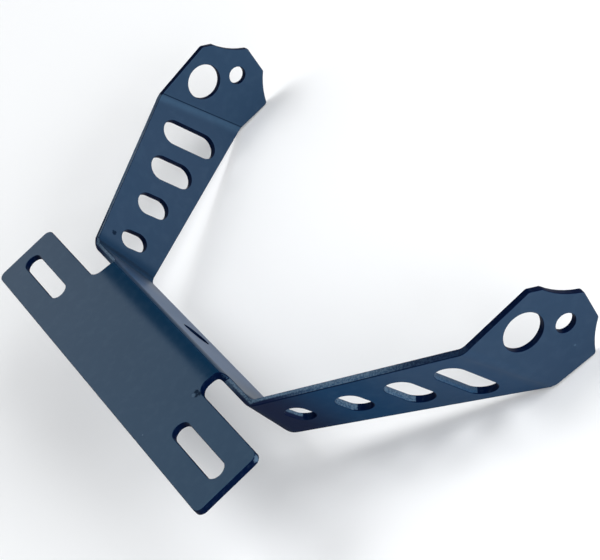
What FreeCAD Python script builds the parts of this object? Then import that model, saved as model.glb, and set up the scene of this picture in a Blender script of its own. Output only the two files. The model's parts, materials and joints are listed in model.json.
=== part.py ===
import FreeCAD, Part
import os
import Sketcher

# Licence plate bracket: one folded steel sheet. Millimetres, +Z up.
# Origin: middle of the back edge of the plate bar, on its top face. X runs along
# the bar, +Y from the bar to the arms, +Z out of the face that carries the plate.

doc = FreeCAD.newDocument("plate_bracket")
sizes = doc.addObject("Spreadsheet::Sheet", "Sizes")

# driving sizes: alias, value, what it sets
DRIVING = [
    ("sheet_thickness", 2.5, "thickness of the sheet"),
    ("bar_depth", 25.4, "plate bar, front edge to back edge"),
    ("bar_corner_radius", 2.8, "rounded corners of the bar"),
    ("plate_slot_spacing", 131.4, "between the middles of the two plate slots"),
    ("plate_slot_length", 31.2, "plate slot, end to end"),
    ("plate_slot_width", 6.5, "plate slot, side to side"),
    ("plate_slot_inset", 12.5, "slot line in front of the back edge"),
    ("plate_slot_end_gap", 5.7, "metal between a plate slot and the bar's end"),
    ("tongue_width", 86.8, "neck between the two relief cuts"),
    ("relief_corner_radius", 3.9, "inner corner of a relief cut, beside the ear"),
    ("relief_web_radius", 4.8, "inner corner of a relief cut, at the web face"),
    ("relief_fade_radius", 0.3, "the same corner where it meets the neck's wall"),
    ("web_setback", 9.45, "back edge to the web face, at top face level"),
    ("web_fold_angle", 81.0, "web turned down from the bar"),
    ("web_depth", 27.5, "web, from top face level to its free edge"),
    ("lead_start", 1.4, "where the sheet starts to curve, behind the back edge"),
    ("lead_angle", 8.0, "slow curve ahead of the tight bend"),
    ("web_bend_radius", 0.85, "inside radius of the tight bend"),
    ("web_hole_diameter", 10.6, "hole in the middle of the web"),
    ("web_hole_depth", 16.8, "hole centre below top face level, along the web"),
    ("root_spacing", 126.9, "between the arm faces, at top face level"),
    ("root_splay", 14.2, "root fold line turned from square"),
    ("root_fold_angle", 48.0, "arm folded out of the web"),
    ("root_bend_radius", 4.8, "inside radius of the root fold"),
    ("arm_length", 67.3, "root corner to the second fold"),
    ("arm_start", 2.45, "arm's upper edge at the root fold, along the fold"),
    ("arm_turn", 20.3, "second fold line against the root fold line"),
    ("arm_upper_edge", 26.95, "second fold line, start at the upper edge"),
    ("arm_lower_edge", 65.7, "second fold line, end at the lower edge"),
    ("tab_fold_angle", 38.0, "tab folded back out of the arm"),
    ("tab_bend_radius", 3.0, "inside radius of the second fold"),
    ("slot_turn", 4.4, "arm slots against the second fold line"),
    ("slot_start_along", 4.0, "first arm slot, along the arm"),
    ("slot_fold_gap", 7.05, "metal between the last arm slot and the second fold"),
    ("slot_1_width", 7.2, "slot next to the web"),
    ("slot_2_width", 8.6, "second slot"),
    ("slot_3_width", 10.0, "third slot"),
    ("slot_4_width", 10.2, "slot next to the tab"),
    ("slot_1_upper_gap", 8.85, "metal above the slot next to the web"),
    ("slot_2_upper_gap", 9.2, "metal above the second slot"),
    ("slot_3_upper_gap", 8.35, "metal above the third slot"),
    ("slot_4_upper_gap", 7.3, "metal above the slot next to the tab"),
    ("slot_1_lower_gap", 10.0, "metal below the slot next to the web"),
    ("slot_2_lower_gap", 9.4, "metal below the second slot"),
    ("slot_3_lower_gap", 7.55, "metal below the third slot"),
    ("slot_4_lower_gap", 5.55, "metal below the slot next to the tab"),
    ("chamfer_start_along", 23.75, "tab, upper edge ends"),
    ("chamfer_start_across", 35.55, "tab, upper edge ends"),
    ("upper_horn_along", 26.1, "tab, upper scallop starts"),
    ("upper_horn_across", 39.45, "tab, upper scallop starts"),
    ("nose_upper_along", 30.0, "tab, end edge starts"),
    ("nose_upper_across", 54.2, "tab, end edge starts"),
    ("nose_lower_along", 24.4, "tab, end edge ends"),
    ("nose_lower_across", 64.9, "tab, end edge ends"),
    ("lower_horn_along", 13.3, "tab, lower scallop ends"),
    ("lower_horn_across", 72.35, "tab, lower scallop ends"),
    ("scallop_radius", 29.0, "both scallops beside the nose"),
    ("tab_corner_radius", 1.2, "rounded corners of the tab"),
    ("large_hole_diameter", 13.6, "large hole in the tab"),
    ("large_hole_along", 11.7, "large hole, from the second fold"),
    ("large_hole_across", 42.25, "large hole, across"),
    ("small_hole_diameter", 6.8, "small hole in the tab"),
    ("small_hole_along", 18.9, "small hole, from the second fold"),
    ("small_hole_across", 54.8, "small hole, across"),
]

ARM_SLOTS = (1, 2, 3, 4)

# sizes that follow from the driving ones
FOLLOWING = [
    ("bar_length",
     "plate_slot_spacing + plate_slot_length + 2 * plate_slot_end_gap"),
    ("bend_outer_radius", "web_bend_radius + sheet_thickness"),
    ("lead_radius",
     "((web_setback - lead_start) * sin(web_fold_angle)"
     " - bend_outer_radius * (1 - cos(web_fold_angle - lead_angle)))"
     " / (cos(web_fold_angle - lead_angle) - cos(web_fold_angle))"),
    ("lead_end_y", "lead_start + lead_radius * sin(lead_angle)"),
    ("lead_end_z", "-lead_radius * (1 - cos(lead_angle))"),
    ("bend_centre_y", "lead_end_y - bend_outer_radius * sin(lead_angle)"),
    ("bend_centre_z", "lead_end_z - bend_outer_radius * cos(lead_angle)"),
    ("bend_end_y", "bend_centre_y + bend_outer_radius * sin(web_fold_angle)"),
    ("bend_end_z", "bend_centre_z + bend_outer_radius * cos(web_fold_angle)"),
    ("web_end_y", "web_setback + web_depth * cos(web_fold_angle)"),
    ("web_end_z", "-web_depth * sin(web_fold_angle)"),
    ("cut_depth", "-bend_end_z / sin(web_fold_angle)"),
    ("root_reach", "root_bend_radius * tan(root_fold_angle / 2)"),
    ("root_upper", "(cut_depth + root_reach * sin(root_splay)) / cos(root_splay)"),
    ("root_lower", "(web_depth + root_reach * sin(root_splay)) / cos(root_splay)"),
    ("root_middle", "(root_bend_radius + sheet_thickness / 2) * sin(root_fold_angle / 2)"),
    ("tab_reach", "tab_bend_radius * tan(tab_fold_angle / 2)"),
    ("tab_middle", "(tab_bend_radius + sheet_thickness / 2) * sin(tab_fold_angle / 2)"),
    ("upper_root_along", "root_reach * cos(arm_turn) - arm_start * sin(arm_turn)"),
    ("upper_root_across", "root_reach * sin(arm_turn) + arm_start * cos(arm_turn)"),
    ("lower_root_along", "root_reach * cos(arm_turn) - root_lower * sin(arm_turn)"),
    ("lower_root_across", "root_reach * sin(arm_turn) + root_lower * cos(arm_turn)"),
    ("upper_slope",
     "(arm_upper_edge - upper_root_across) / (arm_length - upper_root_along)"),
    ("lower_slope",
     "(arm_lower_edge - lower_root_across) / (arm_length - lower_root_along)"),
    ("fold_upper_start", "arm_upper_edge - tab_reach * upper_slope"),
    ("fold_lower_start", "arm_lower_edge - tab_reach * lower_slope"),
    ("fold_upper_end",
     "arm_upper_edge + tab_reach * (chamfer_start_across - arm_upper_edge)"
     " / chamfer_start_along"),
    ("fold_lower_end",
     "arm_lower_edge + tab_reach * (lower_horn_across - arm_lower_edge)"
     " / lower_horn_along"),
    ("tool_margin", "2 * sheet_thickness"),
    ("relief_depth", "(relief_corner_radius + web_setback - sheet_thickness) / 2"),
    ("relief_reach",
     "(web_setback - relief_corner_radius) * sin(web_fold_angle)"
     " - relief_fade_radius"),
    ("relief_top_radius",
     "relief_web_radius + (relief_web_radius - relief_fade_radius)"
     " * sheet_thickness / relief_reach"),
    ("slot_pitch",
     "(arm_length - tab_reach - slot_fold_gap - slot_4_width / 2"
     " - slot_start_along) / 3"),
]
# each arm slot lies between the two edges of the arm, a gap away from both
for number in ARM_SLOTS:
    me = "slot_%d_" % number
    FOLLOWING += [
        (me + "along", "slot_start_along + %d * slot_pitch" % (number - 1)),
        (me + "upper",
         "upper_root_across + (%salong - upper_root_along) * upper_slope"
         " + %supper_gap" % (me, me)),
        (me + "lower",
         "lower_root_across + (%salong - lower_root_along) * lower_slope"
         " - %slower_gap" % (me, me)),
        (me + "across", "(%supper + %slower) / 2" % (me, me)),
        (me + "length", "(%slower - %supper) / cos(slot_turn)" % (me, me)),
    ]


def with_sheet(text):
    """Put the sheet's name in front of every alias in an expression."""
    names = [row[0] for row in DRIVING] + [row[0] for row in FOLLOWING]
    word = ""
    out = ""
    for letter in text + " ":
        if letter.isalnum() or letter == "_":
            word += letter
        else:
            out += "Sizes." + word if word in names else word
            out += letter
            word = ""
    return out.strip()


row = 1
for alias, number, note in DRIVING:
    sizes.set("A%d" % row, note)
    sizes.set("B%d" % row, "%g" % number)
    sizes.setAlias("B%d" % row, alias)
    row += 1
for alias, formula in FOLLOWING:
    sizes.set("A%d" % row, "follows")
    sizes.set("B%d" % row, "=" + formula)
    sizes.setAlias("B%d" % row, alias)
    row += 1
doc.recompute()


def value(text):
    """Number that an expression over the sizes has now."""
    got = sizes.evalExpression(with_sheet(text))
    return float(getattr(got, "Value", got))


def bind(thing, prop, text):
    thing.setExpression(prop, with_sheet(text))


def origin_plane(body, role):
    for feature in body.Origin.OriginFeatures:
        if feature.Role == role:
            return feature
    raise RuntimeError("no plane " + role)


def new_sketch(body, name, role):
    sketch = body.newObject("Sketcher::SketchObject", name)
    sketch.AttachmentSupport = [(origin_plane(body, role), "")]
    sketch.MapMode = "FlatFace"
    return sketch


def hold(sketch, geo, pos, axis, text):
    """Hold one coordinate of a sketch point at an expression over the sizes."""
    if text == "0":
        line = -2 if axis == "X" else -1
        sketch.addConstraint(Sketcher.Constraint("PointOnObject", geo, pos, line))
        return
    kind = "Distance" + axis
    number = sketch.addConstraint(
        Sketcher.Constraint(kind, -1, 1, geo, pos, value(text)))
    bind(sketch, "Constraints[%d]" % number, text)


def hold_point(sketch, geo, pos, corner):
    hold(sketch, geo, pos, "X", corner[0])
    hold(sketch, geo, pos, "Y", corner[1])


def outline(sketch, corners, arcs=None):
    """Closed outline through corners given as expression pairs.

    arcs maps a side's index to (radius expression, sign); the sign is +1 for
    a side that bulges to the left of its direction and -1 to the right.
    """
    arcs = arcs or {}
    spots = [FreeCAD.Vector(value(x), value(y), 0) for x, y in corners]
    count = len(spots)
    for i in range(count):
        first = spots[i]
        last = spots[(i + 1) % count]
        if i in arcs:
            radius = value(arcs[i][0])
            chord = last - first
            side = FreeCAD.Vector(-chord.y, chord.x, 0).normalize() * arcs[i][1]
            half = chord.Length / 2
            sag = radius - (radius * radius - half * half) ** 0.5
            middle = (first + last) / 2 + side * sag
            geo = sketch.addGeometry(Part.Arc(first, middle, last), False)
        else:
            geo = sketch.addGeometry(Part.LineSegment(first, last), False)
        if i not in arcs:
            continue
        number = sketch.addConstraint(
            Sketcher.Constraint("Radius", geo, radius))
        bind(sketch, "Constraints[%d]" % number, arcs[i][0])
    for i in range(count):
        after = (i + 1) % count
        end = end_of(sketch, i, spots[after])
        start = end_of(sketch, after, spots[after])
        sketch.addConstraint(Sketcher.Constraint("Coincident", i, end, after, start))
        hold_point(sketch, after, start, corners[after])


def end_of(sketch, geo, spot):
    """Which end (1 or 2) of a sketch edge lies at a spot."""
    near = (sketch.getPoint(geo, 1) - spot).Length
    far = (sketch.getPoint(geo, 2) - spot).Length
    return 1 if near < far else 2


def circle(sketch, centre, diameter):
    spot = FreeCAD.Vector(value(centre[0]), value(centre[1]), 0)
    up = FreeCAD.Vector(0, 0, 1)
    geo = sketch.addGeometry(Part.Circle(spot, up, value(diameter) / 2), False)
    number = sketch.addConstraint(
        Sketcher.Constraint("Diameter", geo, value(diameter)))
    bind(sketch, "Constraints[%d]" % number, diameter)
    hold_point(sketch, geo, 3, centre)


def slot(sketch, centre, length, width, turn="0"):
    """Slot with round ends; its axis is turned from the sketch's X by turn."""
    half = "(%s - %s) / 2" % (length, width)
    ends = []
    for sign in ("+", "-"):
        ends.append(("%s %s %s * cos(%s)" % (centre[0], sign, half, turn),
                     "%s %s %s * sin(%s)" % (centre[1], sign, half, turn)))
    spots = [FreeCAD.Vector(value(x), value(y), 0) for x, y in ends]
    radius = value(width) / 2
    along = (spots[0] - spots[1]).normalize() * radius
    across = FreeCAD.Vector(-along.y, along.x, 0)
    first = sketch.addGeometry(
        Part.Arc(spots[0] - across, spots[0] + along, spots[0] + across), False)
    second = sketch.addGeometry(
        Part.Arc(spots[1] + across, spots[1] - along, spots[1] - across), False)
    upper = sketch.addGeometry(
        Part.LineSegment(spots[0] + across, spots[1] + across), False)
    lower = sketch.addGeometry(
        Part.LineSegment(spots[1] - across, spots[0] - across), False)
    for arc, line, line_end in ((first, upper, 1), (second, upper, 2),
                                (second, lower, 1), (first, lower, 2)):
        spot = sketch.getPoint(line, line_end)
        sketch.addConstraint(Sketcher.Constraint(
            "Tangent", arc, end_of(sketch, arc, spot), line, line_end))
    number = sketch.addConstraint(Sketcher.Constraint("Radius", first, radius))
    bind(sketch, "Constraints[%d]" % number, "(%s) / 2" % width)
    hold_point(sketch, first, 3, ends[0])
    hold_point(sketch, second, 3, ends[1])


def pad(body, sketch, name, length, reverse=False, midplane=False):
    feature = body.newObject("PartDesign::Pad", name)
    feature.Profile = sketch
    feature.Reversed = reverse
    feature.Midplane = midplane
    bind(feature, "Length", length)
    body.Tip = feature
    return feature


def pocket(body, sketch, name, length, midplane=False):
    feature = body.newObject("PartDesign::Pocket", name)
    feature.Profile = sketch
    feature.Midplane = midplane
    bind(feature, "Length", length)
    body.Tip = feature
    return feature


def round_edges(body, base, name, spots, radius):
    """Round the edges of a feature whose middles lie nearest the given spots."""
    doc.recompute()
    names = []
    for spot in spots:
        best = None
        for i, edge in enumerate(base.Shape.Edges):
            middle = edge.valueAt((edge.FirstParameter + edge.LastParameter) / 2)
            gap = (middle - FreeCAD.Vector(*spot)).Length
            if best is None or gap < best[0]:
                best = (gap, "Edge%d" % (i + 1))
        names.append(best[1])
    feature = body.newObject("PartDesign::Fillet", name)
    feature.Base = (base, names)
    bind(feature, "Radius", radius)
    body.Tip = feature
    return feature


# bar, tongue and web: the side profile, swept along X
bar = doc.addObject("PartDesign::Body", "BarBody")
profile = new_sketch(bar, "SideProfile", "YZ_Plane")
THICK_Y = "sheet_thickness * sin(%s)"
THICK_Z = "sheet_thickness * cos(%s)"


def under(y, z, angle):
    """Point of the lower face under a point of the upper face."""
    return ("%s - %s" % (y, THICK_Y % angle), "%s - %s" % (z, THICK_Z % angle))


outline(profile, [
    ("-bar_depth", "0"),
    ("lead_start", "0"),
    ("lead_end_y", "lead_end_z"),
    ("bend_end_y", "bend_end_z"),
    ("web_end_y", "web_end_z"),
    under("web_end_y", "web_end_z", "web_fold_angle"),
    under("bend_end_y", "bend_end_z", "web_fold_angle"),
    under("lead_end_y", "lead_end_z", "lead_angle"),
    ("lead_start", "-sheet_thickness"),
    ("-bar_depth", "-sheet_thickness"),
], {
    1: ("lead_radius", 1),
    2: ("bend_outer_radius", 1),
    6: ("web_bend_radius", -1),
    7: ("lead_radius - sheet_thickness", -1),
})
pad(bar, profile, "FoldedStrip", "bar_length", midplane=True)

# plate slot on the +X side
plate_slot = new_sketch(bar, "PlateSlot", "XY_Plane")
slot(plate_slot, ("plate_slot_spacing / 2", "-plate_slot_inset"),
     "plate_slot_length", "plate_slot_width")
slot_cut = pocket(bar, plate_slot, "PlateSlotCut", "4 * sheet_thickness", midplane=True)


def lie_on_web(sketch, lift):
    """Lay an XY sketch on the web: X along the bar, Y down the web."""
    sketch.AttachmentOffset = FreeCAD.Placement(
        FreeCAD.Vector(), FreeCAD.Rotation(FreeCAD.Vector(-1, 0, 0), 10))
    bind(sketch, ".AttachmentOffset.Base.y", "web_setback + (%s) * sin(web_fold_angle)" % lift)
    bind(sketch, ".AttachmentOffset.Base.z", "(%s) * cos(web_fold_angle)" % lift)
    bind(sketch, ".AttachmentOffset.Rotation.Angle", "web_fold_angle")


def fold_line(down):
    """Point of the web where the root fold starts, at a distance down the fold."""
    return ("root_spacing / 2 - (%s) * sin(root_splay) - root_reach * cos(root_splay)" % down,
            "(%s) * cos(root_splay) - root_reach * sin(root_splay)" % down)


FAR = "bar_length / 2 + tool_margin"


def relief_outline(sketch, edge, far, sign, radius):
    """Cut outward from the tongue, its inner corner rounded at the edge line."""
    outline(sketch, [
        ("tongue_width / 2 + %s" % radius, edge),
        (FAR, edge),
        (FAR, far),
        ("tongue_width / 2", far),
        ("tongue_width / 2", "%s %s %s" % (edge, "+" if sign > 0 else "-", radius)),
    ], {4: (radius, -sign)})


# relief cut on the +X side: square to the ear first
ear_relief = new_sketch(bar, "EarRelief", "XY_Plane")
relief_outline(ear_relief, "0", "relief_depth", 1, "relief_corner_radius")
ear_relief_cut = pocket(bar, ear_relief, "EarReliefCut", "4 * sheet_thickness",
                        midplane=True)
# then square to the web, with a corner that narrows through the bend
web_relief = new_sketch(bar, "WebRelief", "XY_Plane")
lie_on_web(web_relief, "sheet_thickness")
relief_outline(web_relief, "cut_depth", "-sheet_thickness", -1, "relief_top_radius")
web_relief_end = new_sketch(bar, "WebReliefEnd", "XY_Plane")
lie_on_web(web_relief_end, "-relief_reach")
relief_outline(web_relief_end, "cut_depth", "-sheet_thickness", -1,
               "relief_fade_radius")
web_relief_cut = bar.newObject("PartDesign::SubtractiveLoft", "WebReliefCut")
web_relief_cut.Profile = web_relief
web_relief_cut.Sections = [web_relief_end]
web_relief_cut.Ruled = True
bar.Tip = web_relief_cut

# the web ends where the root fold starts
web_end = new_sketch(bar, "WebEnd", "XY_Plane")
lie_on_web(web_end, "sheet_thickness / 2")
upper = fold_line("root_upper - tool_margin")
lower = fold_line("root_lower + tool_margin")
outline(web_end, [upper, (FAR, upper[1]), (FAR, lower[1]), lower])
web_end_cut = pocket(bar, web_end, "WebEndCut", "2.5 * sheet_thickness")

both_sides = bar.newObject("PartDesign::Mirrored", "BothSides")
both_sides.Originals = [slot_cut, ear_relief_cut, web_relief_cut, web_end_cut]
both_sides.MirrorPlane = (origin_plane(bar, "YZ_Plane"), [""])
bar.Tip = both_sides

web_hole = new_sketch(bar, "WebHole", "XY_Plane")
lie_on_web(web_hole, "sheet_thickness / 2")
circle(web_hole, ("0", "web_hole_depth"), "web_hole_diameter")
web_hole_cut = pocket(bar, web_hole, "WebHoleCut", "2.5 * sheet_thickness")

HALF_SHEET = value("sheet_thickness") / 2
ear_spots = []
for side in (-1, 1):
    for y in (0, -value("bar_depth")):
        ear_spots.append((side * value("bar_length") / 2, y, -HALF_SHEET))
round_edges(bar, web_hole_cut, "BarCorners", ear_spots, "bar_corner_radius")

# chain of places: web face, root corner, arm face, arm turned to the second fold
ON_WEB = ("placement(vector(0; web_setback; 0);"
          " rotation(vector(1; 0; 0); -web_fold_angle))")
AT_ROOT = ON_WEB + (" * placement(vector(root_spacing / 2; 0; 0);"
                    " rotation(vector(0; 0; 1); root_splay))")
ON_ARM = AT_ROOT + (" * placement(vector(0; 0; 0);"
                    " rotation(vector(0; 1; 0); -root_fold_angle))")
ALONG_ARM = ON_ARM + (" * placement(vector(0; 0; 0);"
                      " rotation(vector(0; 0; 1); -arm_turn))")
ON_TAB = ALONG_ARM + (" * placement(vector(arm_length; 0; 0);"
                      " rotation(vector(0; 1; 0); -tab_fold_angle))")
AT_TAB_FOLD = ALONG_ARM + (" * placement(vector(arm_length; 0; 0);"
                           " rotation(vector(0; 0; 1); 0))")


def trim_fold(body, name, angle, middle, edge, far):
    """Cut one end of a fold on a slant, from edge[0] at its start to edge[1]."""
    tool = new_sketch(body, name, "XY_Plane")
    tool.AttachmentOffset = FreeCAD.Placement(
        FreeCAD.Vector(), FreeCAD.Rotation(FreeCAD.Vector(0, -1, 0), 10))
    bind(tool, ".AttachmentOffset.Rotation.Angle", "%s / 2" % angle)
    slope = "(%s - %s) / (2 * %s)" % (edge[1], edge[0], middle)
    span = "(%s + tool_margin)" % middle
    outline(tool, [
        ("-" + span, "%s - tool_margin * %s" % (edge[0], slope)),
        ("-" + span, far),
        (span, far),
        (span, "%s + tool_margin * %s" % (edge[1], slope)),
    ])
    pocket(body, tool, name + "Cut", "8 * sheet_thickness", midplane=True)


def fold_body(name, place, words, upper, lower):
    """One fold of the arm: a strip of the sheet turned about the fold's axis.

    words is the first word of its sizes; upper and lower give, for each end of
    the fold, the edge's place across at the fold's start and at its end.
    """
    reach = words + "_reach"
    radius = words + "_bend_radius"
    angle = words + "_fold_angle"
    middle = words + "_middle"
    low = "min(%s; %s) - tool_margin" % upper
    high = "max(%s; %s) + tool_margin" % lower
    body = doc.addObject("PartDesign::Body", name + "Body")
    section = new_sketch(body, name + "Section", "YZ_Plane")
    bind(section, ".AttachmentOffset.Base.z", "-" + reach)
    outline(section, [(low, "0"), (high, "0"),
                      (high, "-sheet_thickness"), (low, "-sheet_thickness")])
    axis = section.addGeometry(Part.LineSegment(
        FreeCAD.Vector(value(low), value(radius), 0),
        FreeCAD.Vector(value(high), value(radius), 0)), True)
    hold_point(section, axis, 1, (low, radius))
    hold_point(section, axis, 2, (high, radius))
    feature = body.newObject("PartDesign::Revolution", name)
    feature.Profile = section
    feature.ReferenceAxis = (section, ["Axis0"])
    feature.Reversed = True
    bind(feature, "Angle", angle)
    body.Tip = feature
    trim_fold(body, name + "Upper", angle, middle, upper, low + " - tool_margin")
    trim_fold(body, name + "Lower", angle, middle, lower, high + " + tool_margin")
    bind(body, "Placement", place)
    return body


# root fold: its upper end runs from the web's cut edge to the arm's upper edge
root = fold_body("RootFold", AT_ROOT, "root",
                 ("root_upper", "arm_start"), ("root_lower", "root_lower"))

arm = doc.addObject("PartDesign::Body", "ArmBody")
arm_face = new_sketch(arm, "ArmFace", "XY_Plane")
outline(arm_face, [
    ("upper_root_along", "upper_root_across"),
    ("arm_length - tab_reach", "fold_upper_start"),
    ("arm_length - tab_reach", "fold_lower_start"),
    ("lower_root_along", "lower_root_across"),
])
for number in ARM_SLOTS:
    me = "slot_%d_" % number
    slot(arm_face, (me + "along", me + "across"), me + "length", me + "width",
         "90 + slot_turn")
pad(arm, arm_face, "ArmPlate", "sheet_thickness", reverse=True)
bind(arm, "Placement", ALONG_ARM)

tab_fold = fold_body("TabFold", AT_TAB_FOLD, "tab",
                     ("fold_upper_start", "fold_upper_end"),
                     ("fold_lower_start", "fold_lower_end"))

# tab: an end plate with a nose between two scallops
tab = doc.addObject("PartDesign::Body", "TabBody")
tab_face = new_sketch(tab, "TabFace", "XY_Plane")
TAB_CORNERS = [
    ("tab_reach", "fold_upper_end"),
    ("chamfer_start_along", "chamfer_start_across"),
    ("upper_horn_along", "upper_horn_across"),
    ("nose_upper_along", "nose_upper_across"),
    ("nose_lower_along", "nose_lower_across"),
    ("lower_horn_along", "lower_horn_across"),
    ("tab_reach", "fold_lower_end"),
]
outline(tab_face, TAB_CORNERS, {
    2: ("scallop_radius", 1),
    4: ("scallop_radius", 1),
})
circle(tab_face, ("large_hole_along", "large_hole_across"), "large_hole_diameter")
circle(tab_face, ("small_hole_along", "small_hole_across"), "small_hole_diameter")
tab_plate = pad(tab, tab_face, "TabPlate", "sheet_thickness", reverse=True)
tab_spots = []
for corner in (1, 3, 4, 5):
    tab_spots.append((value(TAB_CORNERS[corner][0]),
                      value(TAB_CORNERS[corner][1]), -HALF_SHEET))
round_edges(tab, tab_plate, "TabCorners", tab_spots, "tab_corner_radius")
bind(tab, "Placement", ON_TAB)

# the other arm is the mirror image; all pieces are one sheet
right_arm = doc.addObject("Part::MultiFuse", "RightArm")
right_arm.Shapes = [root, arm, tab_fold, tab]
left_arm = doc.addObject("Part::Mirroring", "LeftArm")
left_arm.Source = right_arm
left_arm.Normal = FreeCAD.Vector(1, 0, 0)
bracket = doc.addObject("Part::MultiFuse", "PlateBracket")
bracket.Shapes = [bar, right_arm, left_arm]
bracket.Refine = True
bracket.Label = "plate_bracket"
doc.recompute()

for item in doc.Objects:
    for word in ("Invalid", "Error"):
        if word in item.State:
            raise RuntimeError("%s is in state %s" % (item.Name, item.State))
    shape = getattr(item, "Shape", None)
    if shape is not None and item.isDerivedFrom("Part::Feature"):
        if shape.isNull() or not shape.isValid():
            raise RuntimeError("%s has no valid shape" % item.Name)
if len(bracket.Shape.Solids) != 1:
    raise RuntimeError("the bracket is not one solid")

os.makedirs("parts", exist_ok=True)
bracket.Shape.exportStep("parts/plate_bracket.step")
box = bracket.Shape.optimalBoundingBox(False)
print("volume %.1f mm3" % bracket.Shape.Volume, "faces", len(bracket.Shape.Faces))
print("X %.2f %.2f  Y %.2f %.2f  Z %.2f %.2f" % (
    box.XMin, box.XMax, box.YMin, box.YMax, box.ZMin, box.ZMax))
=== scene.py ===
import functools
import json
import math

import bpy
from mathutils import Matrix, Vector
from mathutils.bvhtree import BVHTree

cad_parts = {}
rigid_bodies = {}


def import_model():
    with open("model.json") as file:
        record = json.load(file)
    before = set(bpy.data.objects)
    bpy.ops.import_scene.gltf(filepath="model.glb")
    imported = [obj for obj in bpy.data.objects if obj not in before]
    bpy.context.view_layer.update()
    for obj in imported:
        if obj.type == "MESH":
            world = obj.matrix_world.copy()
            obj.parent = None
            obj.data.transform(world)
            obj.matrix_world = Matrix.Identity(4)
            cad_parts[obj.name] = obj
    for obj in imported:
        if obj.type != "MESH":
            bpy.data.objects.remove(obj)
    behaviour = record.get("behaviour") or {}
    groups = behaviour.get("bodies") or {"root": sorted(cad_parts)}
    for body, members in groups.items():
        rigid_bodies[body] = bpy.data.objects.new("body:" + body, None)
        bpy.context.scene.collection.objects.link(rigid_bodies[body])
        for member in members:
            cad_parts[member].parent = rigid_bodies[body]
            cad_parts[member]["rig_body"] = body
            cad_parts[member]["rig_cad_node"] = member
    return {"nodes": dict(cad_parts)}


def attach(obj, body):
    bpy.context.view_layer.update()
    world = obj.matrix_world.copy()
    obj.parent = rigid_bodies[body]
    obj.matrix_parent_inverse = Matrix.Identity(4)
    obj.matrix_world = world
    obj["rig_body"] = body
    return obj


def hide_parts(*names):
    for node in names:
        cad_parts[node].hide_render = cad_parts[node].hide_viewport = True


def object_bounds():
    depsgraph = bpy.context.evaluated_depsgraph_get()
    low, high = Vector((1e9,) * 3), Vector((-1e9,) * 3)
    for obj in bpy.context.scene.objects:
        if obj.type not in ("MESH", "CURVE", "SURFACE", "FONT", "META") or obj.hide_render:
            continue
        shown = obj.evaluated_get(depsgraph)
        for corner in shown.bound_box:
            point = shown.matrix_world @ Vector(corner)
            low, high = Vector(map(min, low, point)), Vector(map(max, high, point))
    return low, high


bl_info = {
    "name": "Plate Bracket",
    "version": (1, 0, 0),
    "blender": (4, 5, 0),
    "location": "3D View > Sidebar > Bracket",
    "description": "Satin powder coat, floor, lamps and camera for a folded plate bracket",
    "category": "Object",
}

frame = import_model()
CAD_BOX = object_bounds()
SHEET_NODE = "plate_bracket"
SHEET_THICKNESS = 0.0025

# Corners of the slanted fold ends on the +X side, where the solid has crowded
# points: the place and how far round it they are looked for.
CROWDED_CORNERS = (
    ((0.0635, 0.0095, -0.0030), 0.006),
    ((0.1108, 0.0642, -0.0053), 0.005),
    ((0.1106, 0.0800, -0.0407), 0.005),
)
# Points closer together than this become one, at those corners and everywhere else.
CROWDED_GAP = 0.0002
SAME_POINT_GAP = 1e-6

# Turns between two faces: below the first they are one flat face, above the second
# their edge is a cut edge and is rounded, above the third it is shaded sharp.
FLAT_TURN = math.radians(0.5)
CUT_EDGE_TURN = math.radians(40)
SHARP_TURN = math.radians(50)
ROUNDING_STEPS = 3

# A face is the sheet's own skin if the other side lies one thickness behind it, within
# this slack. The ray that measures it starts a little under the face.
THICKNESS_SLACK = 0.00025
RAY_START = 0.00001
# The arms' upper edges lie above this height and all their slots below it. Past the
# second value, along Y, the tab begins, and its own cut edges stay dark.
UPPER_EDGE_DEPTH = -0.0075
TAB_START = 0.0660
# Cut edges above that depth that look straight up, and slot walls that look outward and
# towards the tabs, get a painted highlight.
# Least parts of the normals that look straight up, outward and towards the tabs.
STRAIGHT_UP = 0.94
OUTWARD = 0.45
TOWARDS_TAB = 0.35

# Planes of the +X half that the coat's marks follow: normal and offset.
BAR_TOP = ((0.0, 0.0, 1.0), 0.0)
UNDER_BAR = ((0.0, 0.0, -1.0), 0.0040)
UNDER_BEND = ((0.0, 0.0, -1.0), 0.0042)
ARM_OUTSIDE = ((0.7205, -0.6324, -0.2847), 0.04224)
WEB_FRONT = ((0.0, -0.9877, -0.1565), -0.00683)
WEB_BACK = ((0.0, 0.9877, 0.1565), 0.00933)
# How far behind its plane a mask begins and is full, so that the skin on it counts.
PLANE_FADE = (-0.0016, -0.0010)

# Lines of the +X half, a point and a direction: outside and inside the fold between web and
# arm, and the crease, painted in shade, and the pale band, a painted highlight, in the tab
# fold.
ROOT_LINE = ((0.0650, 0.0090, -0.0030), (-0.165, 0.166, -0.972))
FOLD_LINE = ((0.0622, 0.0105, -0.0040), (-0.165, 0.166, -0.972))
CREASE_LINE = ((0.11015, 0.06672, -0.00542), (-0.0072, 0.3861, -0.9224))
FOLD_HIGHLIGHT_LINE = ((0.10985, 0.06520, -0.00600), (-0.0072, 0.3861, -0.9224))
# Distances from a line at which its mark begins to fade and is gone.
CORNER_REACH = (0.004, 0.026)
SHELTER_REACH = (0.012, 0.052)
FOLD_REACH = (0.0015, 0.0060)
ROOT_REACH = (0.006, 0.030)
FOLD_LINE_SHADE_REACH = (0.0005, 0.0014)
CREASE_REACH = (0.00008, 0.00034)
FOLD_HIGHLIGHT_REACH = (0.0003, 0.0030)

# The bluer colour painted on the outer side of an arm for the light there fades out at the
# slanted tab fold: the direction square to that fold, and the places along it where the
# fading begins and ends.
ACROSS_TAB_FOLD = (0.0, 1.0, 0.4186)
OUTSIDE_FADE = (0.0575, 0.0650)
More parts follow.
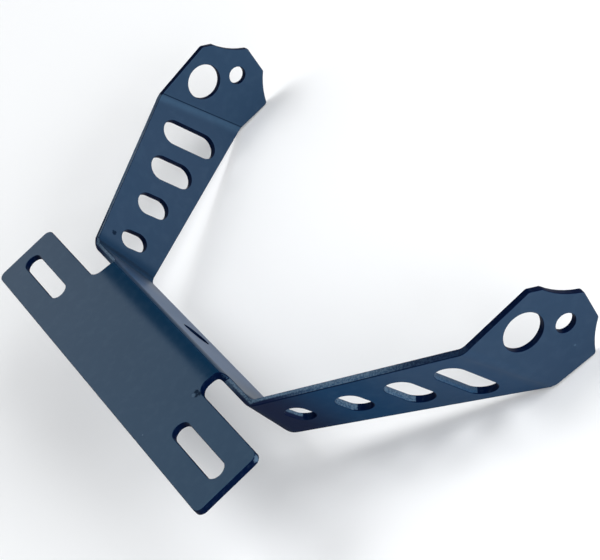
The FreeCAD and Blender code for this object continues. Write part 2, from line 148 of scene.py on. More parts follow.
# The pale edges, a painted highlight, fade along Y to the share PALE_END. The upper edge of
# the +X arm, which lies above the slots, also turns dark along X, painted in the shade
# colour of the cut walls.
PALE_FADE = (0.040, 0.066)
PALE_END = 0.15
EDGE_END_RISE = (0.088, 0.104)
ABOVE_SLOTS = (UPPER_EDGE_DEPTH - 0.001, UPPER_EDGE_DEPTH)

# Unevenness of the coat: noise scale and the noise at which a mask begins and is full.
CLOUDS = {"Scale": 38.0, "Low": 0.36, "High": 0.68}
SPECKLE = {"Scale": 260.0, "Low": 0.45, "High": 0.70}
MOTTLE = {"Scale": 1500.0, "Low": 0.40, "High": 0.60}
WALL_SPECKLE = {"Scale": 700.0, "Low": 0.50, "High": 0.75}
# Strength of a mottled mark where there is no mottle and where it is full.
PALE_MOTTLE = (0.25, 0.90)
FOLD_LINE_SHADE_MOTTLE = (0.55, 1.0)
EDGE_END_MOTTLE = (1.0, 0.70)

# Colour of the coat, each layer laid over those before it: the mask, its share and the
# name of the colour.
# The layers for the arms' outer side, the open web, the band beside the tab fold and the
# pale edges are painted light; those for the fold, its thin line, the end of the upper
# edge, the corner and the crease are painted shade.
COLOUR_LAYERS = (
    ("outside", 1.0, "outside_painted_light_colour"),
    ("clouds", 0.2, "deep_colour"),
    ("speckle", 0.05, "thin_coat_and_highlight_colour"),
    ("fold_highlight", 0.2, "fold_highlight_colour"),
    ("open_web", 1.0, "web_painted_sheen_colour"),
    ("fold", 0.85, "fold_shade_colour"),
    ("fold_line_shade", 1.0, "chip_and_crease_shade_colour"),
    ("painted_highlight", 1.0, "thin_coat_and_highlight_colour"),
    ("edge_end", 1.0, "wall_shade_colour"),
    ("corner", 1.0, "corner_shade_colour"),
    ("crease", 0.9, "chip_and_crease_shade_colour"),
)
# What each mask adds to the roughness where it is full.
ROUGHNESS_LAYERS = (("fold", 0.40), ("outside", 0.16), ("clouds", 0.02), ("matt", 0.75))

# Small marks in the coat: name, centre, radius and kind.
SPOTS = (
    ("arm_dot", (-0.06663, 0.01632, -0.00723), 0.00105, "dark"),
    ("root_speck", (-0.05578, 0.01112, -0.01057), 0.00050, "light"),
    ("ear_chip_1", (0.04419, -0.00076, 0.0), 0.00105, "dark"),
    ("ear_chip_2", (0.04596, -0.00043, 0.0), 0.00095, "dark"),
    ("ear_chip_3", (0.04560, -0.00157, 0.0), 0.00085, "dark"),
    ("ear_scuff", (0.04454, -0.00217, 0.0), 0.00090, "light"),
    ("bar_speck", (0.04111, -0.02249, 0.0), 0.00035, "light"),
    ("tab_speck", (0.11368, 0.09136, -0.0327), 0.00045, "light"),
)
# Each kind's share of colour, the name of the colour and its share of matt.
SPOT_KINDS = {
    "dark": (1.0, "chip_and_crease_shade_colour", 1.0),
    "light": (0.6, "scuff_and_highlight_colour", 0.3),
}

# Painted highlight on the wall of the bar's corner, and the coat of all the walls: share of
# thin coat in the speckle, and roughness without and with it.
CORNER_HIGHLIGHT = {"Centre": (0.08643, -0.00111, -0.00117), "Radius": 0.00130}
WALL_SPECKLE_SHARE = 0.10
WALL_ROUGHNESS = (0.45, 0.60)

# Depth of the crease, in heights of a dimple of the orange peel.
GROOVE_DEPTH = 3.0

# Point that all lamps look at, then their name, turn and rise in degrees, distance,
# width, height and brightness.
LAMP_TARGET = Vector((0.0, 0.03, 0.0))
LAMPS = (
    ("back_box", -125.4, 33.0, 1.8, 2.16, 1.30, 1.32),
    ("high_box", -120.0, 64.0, 1.6, 0.86, 0.74, 5.0),
    ("side_box", 30.0, 40.0, 1.6, 1.20, 1.00, 3.3),
    ("low_front_box", 92.0, 15.0, 1.7, 1.20, 0.70, 6.5),
    ("low_corner_box", 62.0, 15.0, 1.7, 1.20, 0.70, 7.6),
    ("low_side_box", 10.0, 20.0, 1.7, 1.00, 0.60, 2.2),
)

# Start values of the groups' vector inputs.
ORIGIN = (0.0, 0.0, 0.0)
UP = (0.0, 0.0, 1.0)


class BracketPaint(bpy.types.PropertyGroup):
    """Sizes and colours of the coat on the folded sheet."""

    edge_radius: bpy.props.FloatProperty(
        name="Edge radius",
        description="Rounding that the coat gives to every cut edge",
        default=0.0003,
        unit="LENGTH",
    )
    colour: bpy.props.FloatVectorProperty(
        name="Coat colour",
        description="Blue-black of the coat on the bar",
        default=(0.0030, 0.0215, 0.0520),
        subtype="COLOR",
    )
    deep_colour: bpy.props.FloatVectorProperty(
        name="Thick coat colour",
        description="Where the coat has run together and looks darker",
        default=(0.0020, 0.0170, 0.0430),
        subtype="COLOR",
    )
    side_colour: bpy.props.FloatVectorProperty(
        name="Side colour",
        description="Slightly greyer coat of the web, the arms and the tabs",
        default=(0.0100, 0.0235, 0.0510),
        subtype="COLOR",
    )
    # Painted light: the bluer colour on the arms' outer sides stands in for the blue cast
    # of the light reflected there.
    outside_painted_light_colour: bpy.props.FloatVectorProperty(
        name="Arm outside colour",
        description="Bluer coat on the outer side of both arms",
        default=(0.0008, 0.0230, 0.0680),
        subtype="COLOR",
    )
    # Partly real and partly painted light: thin coat in the random speckle, and a painted
    # highlight on the pale arm edges.
    thin_coat_and_highlight_colour: bpy.props.FloatVectorProperty(
        name="Thin coat colour",
        description="Where the coat has drawn thin on cut edges",
        default=(0.0600, 0.1000, 0.1500),
        subtype="COLOR",
    )
    # Painted highlight: the pale band beside the tab fold stands in for the light reflected
    # by the fold's curve.
    fold_highlight_colour: bpy.props.FloatVectorProperty(
        name="Stretched coat colour",
        description="Pale band where the coat was stretched beside the tab fold",
        default=(0.0400, 0.0900, 0.1500),
        subtype="COLOR",
    )
    # Painted shade: nearly black colour on the cut walls and at the far end of the +X arm's
    # upper edge, for the shade on them.
    wall_shade_colour: bpy.props.FloatVectorProperty(
        name="Cut wall colour",
        description="Dark coat on the cut walls of the slots, holes and edges",
        default=(0.0003, 0.0032, 0.0180),
        subtype="COLOR",
    )
    # Painted shade: dark colour inside the fold between web and arm.
    fold_shade_colour: bpy.props.FloatVectorProperty(
        name="Fold colour",
        description="Dark coat gathered inside the fold between web and arm",
        default=(0.0010, 0.0120, 0.0340),
        subtype="COLOR",
    )
    # Painted sheen: the bluer colour on the web's side that faces the arms stands in for
    # the blue cast of its grazing reflection.
    web_painted_sheen_colour: bpy.props.FloatVectorProperty(
        name="Web colour",
        description="Bluer coat on the side of the web that looks towards the arms",
        default=(0.0020, 0.0330, 0.0950),
        subtype="COLOR",
    )
    # Painted shade: nearly black colour in the corner under the bar, where each arm leaves
    # the web.
    corner_shade_colour: bpy.props.FloatVectorProperty(
        name="Corner colour",
        description="Nearly black coat in the sheltered corners under the bar",
        default=(0.0001, 0.0003, 0.0160),
        subtype="COLOR",
    )
    # Real chips and the dot on the arm, and painted shade in the fold's thin line and in
    # the tab fold's crease.
    chip_and_crease_shade_colour: bpy.props.FloatVectorProperty(
        name="Dark mark colour",
        description="Small chips, the dot on the arm, the seam and the crease of the folds",
        default=(0.0002, 0.0040, 0.0150),
        subtype="COLOR",
    )
    # Real scuffs and specks, and the painted highlight on the wall of the bar's corner.
    scuff_and_highlight_colour: bpy.props.FloatVectorProperty(
        name="Light mark colour",
        description="Small scuffs and specks",
        default=(0.0500, 0.0850, 0.1300),
        subtype="COLOR",
    )
    roughness: bpy.props.FloatProperty(
        name="Roughness",
        description="How soft the shine of the bar is",
        default=0.18,
        subtype="FACTOR",
    )
    side_roughness: bpy.props.FloatProperty(
        name="Side roughness",
        description="The softer shine of the web, the arms and the tabs",
        default=0.44,
        subtype="FACTOR",
    )
    gloss: bpy.props.FloatProperty(
        name="Gloss",
        description="Strength of the shine of the coat",
        default=0.35,
        subtype="FACTOR",
    )
    gloss_tint: bpy.props.FloatVectorProperty(
        name="Gloss tint",
        description="The blue cast of the shine",
        default=(0.40, 0.70, 1.0),
        subtype="COLOR",
    )
    wall_gloss: bpy.props.FloatProperty(
        name="Wall gloss",
        description="Strength of the shine on the cut walls",
        default=0.02,
        subtype="FACTOR",
    )
    peel_size: bpy.props.FloatProperty(
        name="Orange peel size",
        description="Width of one dimple of the coat",
        default=0.0011,
        unit="LENGTH",
    )
    peel_height: bpy.props.FloatProperty(
        name="Orange peel height",
        description="Depth of the dimples",
        default=0.000008,
        unit="LENGTH",
    )


class BracketStage(bpy.types.PropertyGroup):
    """Floor, room light and camera."""

    floor_drop: bpy.props.FloatProperty(
        name="Floor drop",
        description="Gap between the lowest point and the floor",
        default=0.0002,
        unit="LENGTH",
    )
    floor_size: bpy.props.FloatProperty(
        name="Floor size",
        description="Side of the square floor",
        default=40.0,
        unit="LENGTH",
    )
    floor_colour: bpy.props.FloatVectorProperty(
        name="Floor colour",
        description="Pale floor",
        default=(0.915, 0.93, 0.945),
        subtype="COLOR",
    )
    floor_roughness: bpy.props.FloatProperty(
        name="Floor roughness",
        description="The floor is matt",
        default=0.9,
        subtype="FACTOR",
    )
    floor_gloss: bpy.props.FloatProperty(
        name="Floor gloss",
        description="Strength of the shine of the floor",
        default=0.1,
        subtype="FACTOR",
    )
    surround: bpy.props.FloatVectorProperty(
        name="Surround",
        description="Light from the room all round",
        default=(0.035, 0.035, 0.035),
        subtype="COLOR",
    )
    camera_place: bpy.props.FloatVectorProperty(
        name="Camera place",
        description="Where the camera stands",
        default=(0.54640, 0.00749, 0.39006),
        subtype="TRANSLATION",
    )
    camera_turn: bpy.props.FloatVectorProperty(
        name="Camera turn",
        description="How the camera is turned",
        default=tuple(math.radians(a) for a in (45.7433, 31.8414, 58.1976)),
        subtype="EULER",
    )
    lens: bpy.props.FloatProperty(
        name="Lens",
        description="Focal length in millimetres",
        default=120.593,
    )
    shift: bpy.props.FloatVectorProperty(
        name="Shift",
        description="Sideways and upward shift of the picture",
        default=(0.04053, -0.05245),
        size=2,
    )


def new_group(name, output, **inputs):
    """Shader node group with one value output. An input's start value, a number or a
    vector, gives the kind of its socket."""
    group = bpy.data.node_groups.new(name, "ShaderNodeTree")
    for socket, start in inputs.items():
        kind = "NodeSocketVector" if isinstance(start, tuple) else "NodeSocketFloat"
        made = group.interface.new_socket(name=socket, in_out="INPUT", socket_type=kind)
        made.default_value = start
    group.interface.new_socket(name=output, in_out="OUTPUT", socket_type="NodeSocketFloat")
    given = group.nodes.new("NodeGroupInput")
    out = group.nodes.new("NodeGroupOutput")
    return group, given.outputs, out.inputs[output]


def add_node(tree, kind, **settings):
    """One node with its settings."""
    node = tree.nodes.new(kind)
    for name, value in settings.items():
        setattr(node, name, value)
    return node


def feed(tree, value, target):
    """Give an input what it reads: another socket or a plain value."""
    if isinstance(value, bpy.types.NodeSocket):
        tree.links.new(value, target)
    else:
        target.default_value = value


def maths(tree, operation, first, second, clamp=False):
    """One Math node; first and second are sockets or numbers."""
    node = add_node(tree, "ShaderNodeMath", operation=operation, use_clamp=clamp)
    feed(tree, first, node.inputs[0])
    feed(tree, second, node.inputs[1])
    return node.outputs[0]


def vector_maths(tree, operation, *vectors):
    """One Vector Math node and its outputs; the vectors are sockets or plain ones."""
    node = add_node(tree, "ShaderNodeVectorMath", operation=operation)
    for i, vector in enumerate(vectors):
        feed(tree, vector, node.inputs[i])
    return node.outputs


def ramp(tree, source, low, high, low_out=0.0, high_out=1.0):
    """Smooth step of a socket from low to high."""
    node = add_node(tree, "ShaderNodeMapRange", interpolation_type="SMOOTHSTEP")
    for name, value in (("Value", source), ("From Min", low), ("From Max", high),
                        ("To Min", low_out), ("To Max", high_out)):
        feed(tree, value, node.inputs[name])
    return node.outputs["Result"]


def noise(tree, place, scale, detail=2.0, roughness=0.5):
    """Noise value; scale is a socket or a number."""
    node = add_node(tree, "ShaderNodeTexNoise")
    for name, value in (("Vector", place), ("Scale", scale), ("Detail", detail),
                        ("Roughness", roughness)):
        feed(tree, value, node.inputs[name])
    return node.outputs["Fac"]


def opaque(colour):
    """Three parts of a colour with full alpha."""
    return (*colour, 1.0)


def blend_colour(tree, share, first, second):
    """Colour mix; share is a socket, first and second are sockets or colours."""
    node = add_node(tree, "ShaderNodeMix", data_type="RGBA")
    feed(tree, share, node.inputs["Factor"])
    for name, value in (("A", first), ("B", second)):
        socket = [s for s in node.inputs if s.name == name and s.type == "RGBA"][0]
        plain = not isinstance(value, bpy.types.NodeSocket)
        feed(tree, opaque(value) if plain else value, socket)
    return [s for s in node.outputs if s.type == "RGBA"][0]


def split(tree, place):
    """The X, Y and Z of a place, by name."""
    node = add_node(tree, "ShaderNodeSeparateXYZ")
    feed(tree, place, node.inputs[0])
    return node.outputs


def orange_peel_group():
    """Dimpled skin of a sprayed and baked coat."""
    group, given, height = new_group("orange_peel", "Height", Place=ORIGIN, Size=0.001)
    waves_per_dimple = 0.7
    finer, fine_share = 3.1, 0.35
    scale = maths(group, "DIVIDE", waves_per_dimple, given["Size"])
    fine_scale = maths(group, "MULTIPLY", scale, finer)
    coarse = noise(group, given["Place"], scale, detail=1.0, roughness=0.4)
    fine = noise(group, given["Place"], fine_scale, detail=2.0, roughness=0.55)
    feed(group, maths(group, "ADD", coarse, maths(group, "MULTIPLY", fine, fine_share)),
         height)
    return group


def cloud_group():
    """Unevenness of the coat: 0 where the noise is under Low, 1 where it is over High."""
    group, given, mask = new_group("coat_clouds", "Mask", Place=ORIGIN, Scale=60.0,
                                   Low=0.4, High=0.65)
    field = noise(group, given["Place"], given["Scale"], detail=4.0, roughness=0.55)
    feed(group, ramp(group, field, given["Low"], given["High"]), mask)
    return group


def spot_group():
    """Mask of a ragged round spot: 1 inside, 0 outside its radius."""
    group, given, mask = new_group("coat_spot", "Mask", Place=ORIGIN, Centre=ORIGIN,
                                   Radius=0.0005)
    ragged_scale, ragged_share = 1500.0, 1.2
    full, gone = 1.15, 1.75
    away = vector_maths(group, "DISTANCE", given["Place"], given["Centre"])["Value"]
    ragged = noise(group, given["Place"], ragged_scale)
    share = maths(group, "ADD", maths(group, "DIVIDE", away, given["Radius"]),
                  maths(group, "MULTIPLY", ragged, ragged_share))
    feed(group, ramp(group, share, full, gone, 1.0, 0.0), mask)
    return group


def line_group():
    """Mask along a straight line: 1 on the line, fading to 0 between Core and Reach."""
    group, given, mask = new_group("coat_line", "Mask", Place=ORIGIN, Start=ORIGIN,
                                   Direction=UP, Core=0.0001, Reach=0.0003)
    offset = vector_maths(group, "SUBTRACT", given["Place"], given["Start"])["Vector"]
    across = vector_maths(group, "CROSS_PRODUCT", offset, given["Direction"])["Vector"]
    away = vector_maths(group, "LENGTH", across)["Value"]
    feed(group, ramp(group, away, given["Core"], given["Reach"], 1.0, 0.0), mask)
    return group


def side_group():
    """Mask of the part of the sheet on one side of a plane: 1 in front of it, 0 behind."""
    group, given, mask = new_group("sheet_side", "Mask", Place=ORIGIN, Normal=UP,
                                   Offset=0.0)
    height = vector_maths(group, "DOT_PRODUCT", given["Place"], given["Normal"])["Value"]
    height = maths(group, "SUBTRACT", height, given["Offset"])
    feed(group, ramp(group, height, *PLANE_FADE), mask)
    return group


GROUP_MAKERS = (orange_peel_group, cloud_group, spot_group, line_group, side_group)


class Coat:
    """A new material with short ways to place the groups in it."""

    def __init__(self, name, groups):
        self.material = bpy.data.materials.new(name)
        self.material.use_nodes = True
        self.tree = self.material.node_tree
        self.groups = groups
        self.place = add_node(self.tree, "ShaderNodeTexCoord").outputs["Object"]

    @functools.cached_property
    def both_arms(self):
        """Place with its X made positive, for marks that both arms have."""
        parts = split(self.tree, self.place)
        away = add_node(self.tree, "ShaderNodeMath", operation="ABSOLUTE")
        feed(self.tree, parts["X"], away.inputs[0])
        merged = add_node(self.tree, "ShaderNodeCombineXYZ")
        for name, part in (("X", away.outputs[0]), ("Y", parts["Y"]), ("Z", parts["Z"])):
            feed(self.tree, part, merged.inputs[name])
        return merged.outputs[0]

    def put(self, maker, place=None, **values):
        """Place one group with its values and give its output."""
        node = add_node(self.tree, "ShaderNodeGroup", node_tree=self.groups[maker])
        feed(self.tree, self.place if place is None else place, node.inputs["Place"])
        for name, value in values.items():
            node.inputs[name].default_value = value
        return node.outputs[0]

    def side(self, plane):
        """Mask of what lies in front of a plane, the same on both arms."""
        normal, offset = plane
        return self.put(side_group, self.both_arms, Normal=normal, Offset=offset)

    def line(self, axis, reach):
        """Mask along a line, the same on both arms."""
        start, direction = axis
        core, end = reach
        return self.put(line_group, self.both_arms, Start=start, Direction=direction,
                        Core=core, Reach=end)

    def times(self, first, second):
        return maths(self.tree, "MULTIPLY", first, second)

    def largest(self, first, second):
        return maths(self.tree, "MAXIMUM", first, second)

    def by_mask(self, mask, none, full):
        """Value that goes from none, where the mask is 0, to full, where it is 1."""
        return ramp(self.tree, mask, 0.0, 1.0, none, full)

    def lay(self, colour, mask, share, layer):
        """Lay a colour over another one where the mask is, at this share."""
        return blend_colour(self.tree, self.times(mask, share), colour, layer)

    def dimples(self, paint, groove=None):
        """Normal of the orange peel; groove is a mask that is sunk into it."""
        height = self.put(orange_peel_group, Size=paint.peel_size)
        if groove is not None:
            height = maths(self.tree, "SUBTRACT", height, self.times(groove, GROOVE_DEPTH))
        bump = add_node(self.tree, "ShaderNodeBump")
        bump.inputs["Distance"].default_value = paint.peel_height
        feed(self.tree, height, bump.inputs["Height"])
        return bump.outputs["Normal"]

    def finish(self, paint, gloss, colour, rough, normal):
        """Feed the shader with what changes over the sheet and give the material."""
        inputs = self.tree.nodes["Principled BSDF"].inputs
        inputs["Specular IOR Level"].default_value = gloss
        inputs["Specular Tint"].default_value = opaque(paint.gloss_tint)
        for name, value in (("Base Color", colour), ("Roughness", rough),
                            ("Normal", normal)):
            feed(self.tree, value, inputs[name])
        return self.material


def inner_corner(coat, reach):
    """Mask of the sheltered corner under the bar, where each arm leaves the web: it places
    the painted shade of the corner colour and the matt roughness there.
    """
    sides = coat.largest(coat.side(ARM_OUTSIDE), coat.side(WEB_FRONT))
    near = coat.times(coat.line(ROOT_LINE, reach), sides)
    return coat.times(near, coat.side(UNDER_BAR))


def open_web(coat):
    """Mask of the web's side that looks towards the arms, away from both arm folds, where a
    bluer colour is painted for the web's grazing reflection.
    """
    normal, offset = WEB_BACK
    opposite = (tuple(-part for part in normal), -offset)
    back = coat.times(coat.side(WEB_BACK), coat.side(opposite))
    back = coat.times(back, coat.side(UNDER_BEND))
    near_fold = coat.times(back, coat.line(FOLD_LINE, ROOT_REACH))
    return maths(coat.tree, "SUBTRACT", back, near_fold, clamp=True)


def arm_outside(coat, top):
    """Mask of the outer side of both arms, without the bar and up to the tab fold."""
    outside = coat.times(coat.side(ARM_OUTSIDE), maths(coat.tree, "SUBTRACT", 1.0, top))
    along = vector_maths(coat.tree, "DOT_PRODUCT", coat.place, ACROSS_TAB_FOLD)["Value"]
    return coat.times(outside, ramp(coat.tree, along, *OUTSIDE_FADE, 1.0, 0.0))


def arm_edges(coat, mottle):
    """Masks of the pale cut edges of the arms, a painted highlight, and of the dark end of
    the +X upper edge, painted shade.
    """
    edge = add_node(coat.tree, "ShaderNodeAttribute",
                    attribute_name="painted_highlight_edge").outputs["Fac"]
    at = split(coat.tree, coat.place)
    painted_highlight = coat.times(edge, coat.by_mask(mottle, *PALE_MOTTLE))
    painted_highlight = coat.times(painted_highlight, ramp(coat.tree, at["Y"], *PALE_FADE, 1.0, PALE_END))
    end = coat.times(edge, ramp(coat.tree, at["Z"], *ABOVE_SLOTS))
    end = coat.times(end, ramp(coat.tree, at["X"], *EDGE_END_RISE))
    end = coat.times(end, coat.by_mask(mottle, *EDGE_END_MOTTLE))
    return painted_highlight, end


def coat_masks(coat):
    """Masks of the powder coat by name."""
    mottle = coat.put(cloud_group, **MOTTLE)
    masks = {
        "clouds": coat.put(cloud_group, **CLOUDS),
        "speckle": coat.put(cloud_group, **SPECKLE),
        "top": coat.side(BAR_TOP),
        "open_web": open_web(coat),
        # Painted shade: the corner under the bar.
        "corner": inner_corner(coat, CORNER_REACH),
        # Painted shade inside the fold between web and arm.
        "fold": coat.line(FOLD_LINE, FOLD_REACH),
        # Painted shade: the crease of the tab fold, also sunk as a groove.
        "crease": coat.line(CREASE_LINE, CREASE_REACH),
        # Painted highlight: the pale band beside the tab fold.
        "fold_highlight": coat.line(FOLD_HIGHLIGHT_LINE, FOLD_HIGHLIGHT_REACH),
    }
    masks["outside"] = arm_outside(coat, masks["top"])
    # Painted highlight on the pale arm edges, and painted shade at the end of the +X upper
    # edge.
    masks["painted_highlight"], masks["edge_end"] = arm_edges(coat, mottle)
    # Painted shade: a thin mottled dark line along the inside of the fold between web and
    # arm.
    masks["fold_line_shade"] = coat.times(coat.line(FOLD_LINE, FOLD_LINE_SHADE_REACH),
                               coat.by_mask(mottle, *FOLD_LINE_SHADE_MOTTLE))
    sheltered = inner_corner(coat, SHELTER_REACH)
    masks["matt"] = coat.largest(coat.largest(sheltered, masks["crease"]),
                                 masks["edge_end"])
    return masks


def powder_coat(paint, groups):
    """Satin blue-black powder coat with orange peel and small marks, painted highlights on
    the pale arm edges and beside the tab fold, painted shade in the folds, the crease and
    the corner under the bar, and bluer colours painted on the arms' outer sides and the web
    for the light there.
    """
    coat = Coat("satin_powder_coat", groups)
    masks = coat_masks(coat)

    colour = coat.lay(paint.side_colour, masks["top"], 1.0, paint.colour)
    for mask, share, layer in COLOUR_LAYERS:
        colour = coat.lay(colour, masks[mask], share, getattr(paint, layer))
    for name, centre, radius, kind in SPOTS:
        share, layer, matt_share = SPOT_KINDS[kind]
        spot = coat.put(spot_group, Centre=centre, Radius=radius)
        spot.node.label = name
        colour = coat.lay(colour, spot, share, getattr(paint, layer))
        masks["matt"] = coat.largest(masks["matt"], coat.times(spot, matt_share))

    rough = coat.by_mask(masks["top"], paint.side_roughness, paint.roughness)
    for mask, rise in ROUGHNESS_LAYERS:
        rough = maths(coat.tree, "ADD", rough, coat.times(masks[mask], rise), clamp=True)
    return coat.finish(paint, paint.gloss, colour, rough,
                       coat.dimples(paint, masks["crease"]))


def wall_coat(paint, groups):
    """Dull coat on the cut walls of the slots, holes and edges, painted nearly black for
    the shade on them, with a painted highlight on the bar's corner.
    """
    coat = Coat("dark_cut_wall", groups)
    speckle = coat.put(cloud_group, **WALL_SPECKLE)
    corner_highlight = coat.put(spot_group, **CORNER_HIGHLIGHT)
    colour = coat.lay(paint.wall_shade_colour, speckle, WALL_SPECKLE_SHARE, paint.thin_coat_and_highlight_colour)
    colour = coat.lay(colour, corner_highlight, 1.0, paint.scuff_and_highlight_colour)
    rough = coat.by_mask(speckle, *WALL_ROUGHNESS)
    return coat.finish(paint, paint.wall_gloss, colour, rough, coat.dimples(paint))


def floor_paint(stage):
    """Matt and pale floor."""
    material = bpy.data.materials.new("studio_floor")
    material.use_nodes = True
    inputs = material.node_tree.nodes["Principled BSDF"].inputs
    inputs["Base Color"].default_value = opaque(stage.floor_colour)
    inputs["Roughness"].default_value = stage.floor_roughness
    inputs["Specular IOR Level"].default_value = stage.floor_gloss
    return material


def copy_sheet(context):
    """A free copy of the CAD sheet, which becomes the dressed piece."""
    node = frame["nodes"].get(SHEET_NODE)
    if node is None:
        raise RuntimeError("the packed frame has no node " + SHEET_NODE)
    bpy.ops.object.select_all(action="DESELECT")
    node.select_set(True)
    context.view_layer.objects.active = node
    bpy.ops.object.duplicate()
    sheet = context.view_layer.objects.active
    sheet.name = "bracket_sheet"
    sheet.data.name = "bracket_sheet"
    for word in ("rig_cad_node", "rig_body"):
        if word in sheet:
            del sheet[word]
    return sheet


def join_crowded_points(sheet):
    """Merge the crowded points at the fold ends, so that the edge rounding stays clean."""
    mesh = sheet.data
    for place, reach in CROWDED_CORNERS:
        for point in mesh.vertices:
            mirrored = Vector((abs(point.co.x), point.co.y, point.co.z))
            point.select = (mirrored - Vector(place)).length < reach
        for item in (*mesh.edges, *mesh.polygons):
            item.select = False
        bpy.ops.object.mode_set(mode="EDIT")
        bpy.ops.mesh.select_mode(type="VERT")
        bpy.ops.mesh.remove_doubles(threshold=CROWDED_GAP)
        bpy.ops.object.mode_set(mode="OBJECT")


def close_skin(sheet):
    """Make the copy's loose triangles one closed skin with plain flat faces."""
    bpy.ops.mesh.customdata_custom_splitnormals_clear()
    bpy.ops.object.mode_set(mode="EDIT")
    bpy.ops.mesh.select_all(action="SELECT")
    bpy.ops.mesh.remove_doubles(threshold=SAME_POINT_GAP)
    bpy.ops.object.mode_set(mode="OBJECT")
    join_crowded_points(sheet)
    bpy.ops.object.mode_set(mode="EDIT")
    bpy.ops.mesh.select_all(action="SELECT")
    bpy.ops.mesh.dissolve_limited(angle_limit=FLAT_TURN)
    bpy.ops.object.mode_set(mode="OBJECT")


def apply_modifier(thing, kind, **settings):
    """Add one modifier, give it its settings and apply it."""
    bpy.ops.object.modifier_add(type=kind)
    modifier = thing.modifiers[-1]
    for name, value in settings.items():
        setattr(modifier, name, value)
    bpy.ops.object.modifier_apply(modifier=modifier.name)


def round_cut_edges(sheet, radius):
    """Round every cut edge by the coat's radius."""
    apply_modifier(sheet, "BEVEL", width=radius, segments=ROUNDING_STEPS,
                   limit_method="ANGLE", angle_limit=CUT_EDGE_TURN,
                   use_clamp_overlap=False, miter_outer="MITER_SHARP", loop_slide=False)


def inner_points(mesh):
    """A point inside each face: the middle of its largest triangle."""
    mesh.calc_loop_triangles()
    largest = {}
    for part in mesh.loop_triangles:
        if part.area > largest.get(part.polygon_index, (0.0,))[0]:
            largest[part.polygon_index] = (part.area, part.center.copy())
    return {face: found[1] for face, found in largest.items()}


def is_highlight_edge(face):
    """True for an arm's edge that looks straight up or a slot wall that looks outward;
    these get a painted highlight.
    """
    if face.center.y >= TAB_START:
        return False
    if face.center.z > UPPER_EDGE_DEPTH:
        return face.normal.z > STRAIGHT_UP
    outward = math.copysign(face.normal.x, face.normal.x * face.center.x)
    return outward > OUTWARD and face.normal.y > TOWARDS_TAB


def mark_cut_edges(sheet):
    """Give rounded and cut faces the dark wall material, painted in shade. The pale edges
    of the arms, which get a painted highlight, stay in the powder coat and get a face
    attribute that marks them."""
    mesh = sheet.data
    skin = BVHTree.FromPolygons([point.co for point in mesh.vertices],
                                [face.vertices[:] for face in mesh.polygons])
    inside = inner_points(mesh)
    painted_highlight = mesh.attributes.new("painted_highlight_edge", "FLOAT", "FACE")
    for face in mesh.polygons:
        start = inside[face.index] - face.normal * RAY_START
        depth = skin.ray_cast(start, -face.normal)[3]
        on_skin = depth is not None and abs(depth - SHEET_THICKNESS) < THICKNESS_SLACK
        light = not on_skin and is_highlight_edge(face)
        painted_highlight.data[face.index].value = 1.0 if light else 0.0
        face.material_index = 0 if on_skin or light else 1
    if not any(face.material_index for face in mesh.polygons):
        raise RuntimeError("no cut edge was found on the sheet")


def coat_sheet(sheet, paint):
    """Give the sheet its powder coat and the darker coat of its cut walls, painted in
    shade.
    """
    groups = {maker: maker() for maker in GROUP_MAKERS}
    sheet.data.materials.clear()
    sheet.data.materials.append(powder_coat(paint, groups))
    sheet.data.materials.append(wall_coat(paint, groups))
    mark_cut_edges(sheet)


class BRACKET_OT_sheet(bpy.types.Operator):
    """Dress the folded sheet: closed skin, soft edges and powder coat."""

    bl_idname = "bracket.sheet"
    bl_label = "Folded Sheet"

    def execute(self, context):
        paint = context.scene.bracket_paint
        sheet = copy_sheet(context)
        close_skin(sheet)
        round_cut_edges(sheet, paint.edge_radius)
        coat_sheet(sheet, paint)
        bpy.ops.object.shade_smooth_by_angle(angle=SHARP_TURN)
        apply_modifier(sheet, "WEIGHTED_NORMAL", keep_sharp=True)
        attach(sheet, "root")
        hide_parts(SHEET_NODE)
        return {"FINISHED"}


def add_softbox(context, name, turn, rise, distance, width, height, brightness):
    """Flat lamp on a circle round the object: turn from +Y towards +X, rise from level."""
    lamp = bpy.data.lights.new(name, "AREA")
    lamp.shape = "RECTANGLE"
    lamp.size = width
    lamp.size_y = height
    lamp.energy = brightness * math.pi * width * height
    body = bpy.data.objects.new(name, lamp)
    context.scene.collection.objects.link(body)
    turn, rise = math.radians(turn), math.radians(rise)
    away = Vector((math.cos(rise) * math.sin(turn), math.cos(rise) * math.cos(turn),
                   math.sin(rise)))
    body.location = away * distance + LAMP_TARGET
    body.rotation_euler = (-away).to_track_quat("-Z", "Y").to_euler()


def add_floor(context, stage):
    """Wide floor just under the lowest point of the bracket."""
    bpy.ops.object.select_all(action="DESELECT")
    bpy.ops.mesh.primitive_plane_add(
        size=stage.floor_size,
        location=(0, 0, CAD_BOX[0].z - stage.floor_drop))
    floor = context.view_layer.objects.active
    floor.name = "floor"
    floor.data.materials.append(floor_paint(stage))


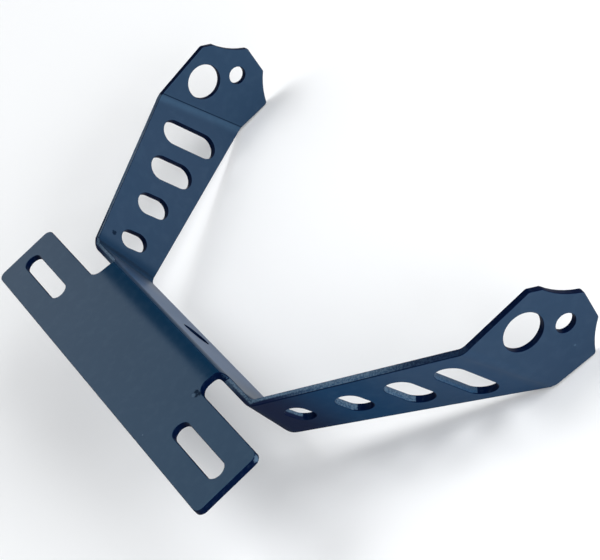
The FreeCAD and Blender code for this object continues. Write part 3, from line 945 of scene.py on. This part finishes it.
def add_room_light(context, stage):
    """Weak and even light from the room."""
    world = bpy.data.worlds.new("room")
    world.use_nodes = True
    background = world.node_tree.nodes["Background"]
    background.inputs["Color"].default_value = opaque(stage.surround)
    context.scene.world = world


def add_camera(context, stage):
    """Camera at the photograph's angle."""
    eye = bpy.data.cameras.new("camera")
    eye.lens = stage.lens
    eye.shift_x, eye.shift_y = stage.shift
    eye.clip_start = 0.01
    eye.clip_end = 100.0
    camera = bpy.data.objects.new("camera", eye)
    context.scene.collection.objects.link(camera)
    camera.location = stage.camera_place
    camera.rotation_euler = stage.camera_turn
    context.scene.camera = camera


class BRACKET_OT_stage(bpy.types.Operator):
    """Set the pale floor, the soft lamps, the room light and the camera."""

    bl_idname = "bracket.stage"
    bl_label = "Stage"

    def execute(self, context):
        stage = context.scene.bracket_stage
        if stage.floor_size <= 0.0:
            raise RuntimeError("the floor has no size")
        add_floor(context, stage)
        for lamp in LAMPS:
            add_softbox(context, *lamp)
        add_room_light(context, stage)
        add_camera(context, stage)
        context.scene.view_settings.view_transform = "Standard"
        return {"FINISHED"}


class BRACKET_PT_panel(bpy.types.Panel):
    """Buttons and values of the plate bracket."""

    bl_label = "Plate Bracket"
    bl_idname = "BRACKET_PT_panel"
    bl_space_type = "VIEW_3D"
    bl_region_type = "UI"
    bl_category = "Bracket"

    def draw(self, context):
        for operator in OPERATORS:
            self.layout.operator(operator.bl_idname)
        for group in (context.scene.bracket_paint, context.scene.bracket_stage):
            box = self.layout.box()
            for name in group.__annotations__:
                box.prop(group, name)


OPERATORS = (BRACKET_OT_sheet, BRACKET_OT_stage)
CLASSES = (BracketPaint, BracketStage, *OPERATORS, BRACKET_PT_panel)


def register():
    for item in CLASSES:
        bpy.utils.register_class(item)
    bpy.types.Scene.bracket_paint = bpy.props.PointerProperty(type=BracketPaint)
    bpy.types.Scene.bracket_stage = bpy.props.PointerProperty(type=BracketStage)


def unregister():
    del bpy.types.Scene.bracket_stage
    del bpy.types.Scene.bracket_paint
    for item in reversed(CLASSES):
        bpy.utils.unregister_class(item)


def main():
    register()
    bpy.ops.bracket.sheet()
    bpy.ops.bracket.stage()


if __name__ == "__main__":
    main()
